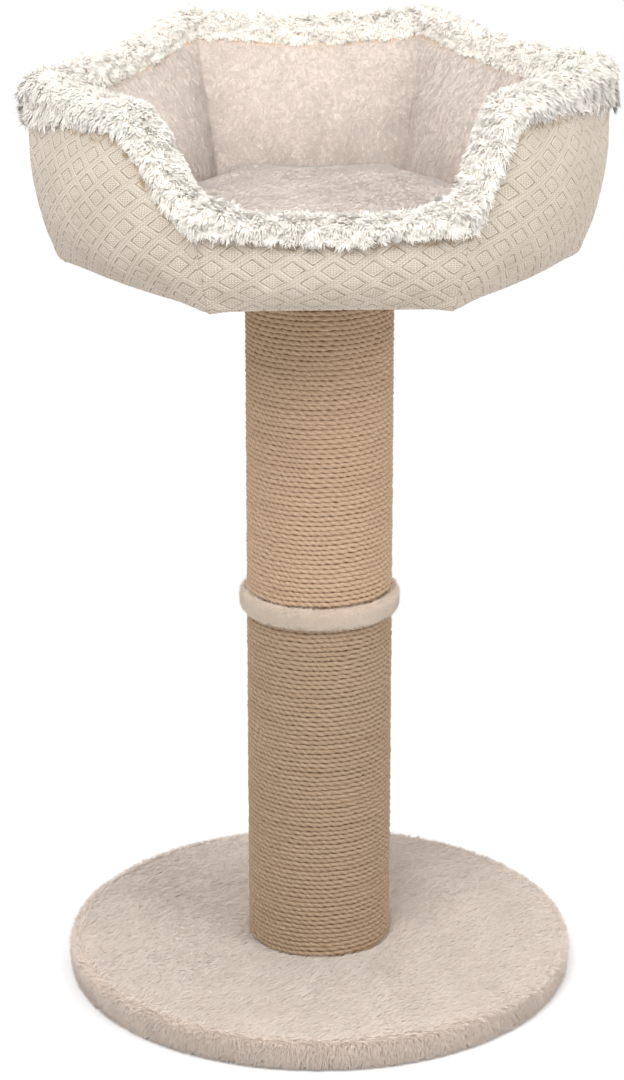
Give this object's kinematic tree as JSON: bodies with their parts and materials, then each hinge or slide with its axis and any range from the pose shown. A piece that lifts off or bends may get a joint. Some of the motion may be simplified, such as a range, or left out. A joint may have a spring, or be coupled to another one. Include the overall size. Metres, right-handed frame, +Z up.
{
  "type": "cat scratching post with bed",
  "caption": "Free-standing scratching post wound with jute on a round plush base, carrying a hexagonal padded bed with a low front, a fringed rim and a loose cushion",
  "frame": {"origin": "on the floor, on the post's axis", "axes": "+Z up along the post; the bed's low front side faces -Y; +X is to the right seen from the front"},
  "size_m": [0.5093, 0.448, 0.828],
  "materials": {
    "board": "matte",
    "base_plush": "matte",
    "felt": "matte",
    "steel": "satin",
    "cardboard": "matte",
    "jute": "matte",
    "cream_plush": "matte",
    "foam": "matte",
    "patterned_cloth": "matte",
    "lining_plush": "matte",
    "fringe": "matte"
  },
  "bodies": {
    "frame": {"base_board": "board", "base_bolt": "steel", "base_plush_cover": "base_plush", "base_staples": "steel", "base_underside_felt": "felt", "base_washer": "steel", "bed_board": "board", "bed_bolt": "steel", "bed_bottom_cover": "patterned_cloth", "bed_floor_lining": "lining_plush", "bed_washer": "steel", "joining_stud": "steel", "joint_ring": "cream_plush", "lower_bottom_plug": "board", "lower_post_tube": "cardboard", "lower_rope_1": "jute", "lower_rope_2": "jute", "lower_rope_3": "jute", "lower_top_plug": "board", "plug_brads": "steel", "rim_fringe_back": "fringe", "rim_fringe_back_left": "fringe", "rim_fringe_back_right": "fringe", "rim_fringe_front": "fringe", "rim_fringe_front_left": "fringe", "rim_fringe_front_right": "fringe", "tee_nuts": "steel", "upper_bottom_plug": "board", "upper_post_tube": "cardboard", "upper_rope_1": "jute", "upper_rope_2": "jute", "upper_rope_3": "jute", "upper_top_plug": "board", "wall_cover_back": "patterned_cloth", "wall_cover_back_left": "patterned_cloth", "wall_cover_back_right": "patterned_cloth", "wall_cover_front": "patterned_cloth", "wall_cover_front_left": "patterned_cloth", "wall_cover_front_right": "patterned_cloth", "wall_lining_back": "lining_plush", "wall_lining_back_left": "lining_plush", "wall_lining_back_right": "lining_plush", "wall_lining_front": "lining_plush", "wall_lining_front_left": "lining_plush", "wall_lining_front_right": "lining_plush", "wall_pad_back": "foam", "wall_pad_back_left": "foam", "wall_pad_back_right": "foam", "wall_pad_front": "foam", "wall_pad_front_left": "foam", "wall_pad_front_right": "foam"},
    "cushion": {"cushion_cover": "lining_plush", "cushion_filling": "foam"}
  },
  "joints": [
    {"name": "cushion_lift", "type": "slide", "parent": "frame", "child": "cushion", "axis": [0, 0, 1], "range_m": [0, 0.25]}
  ]
}
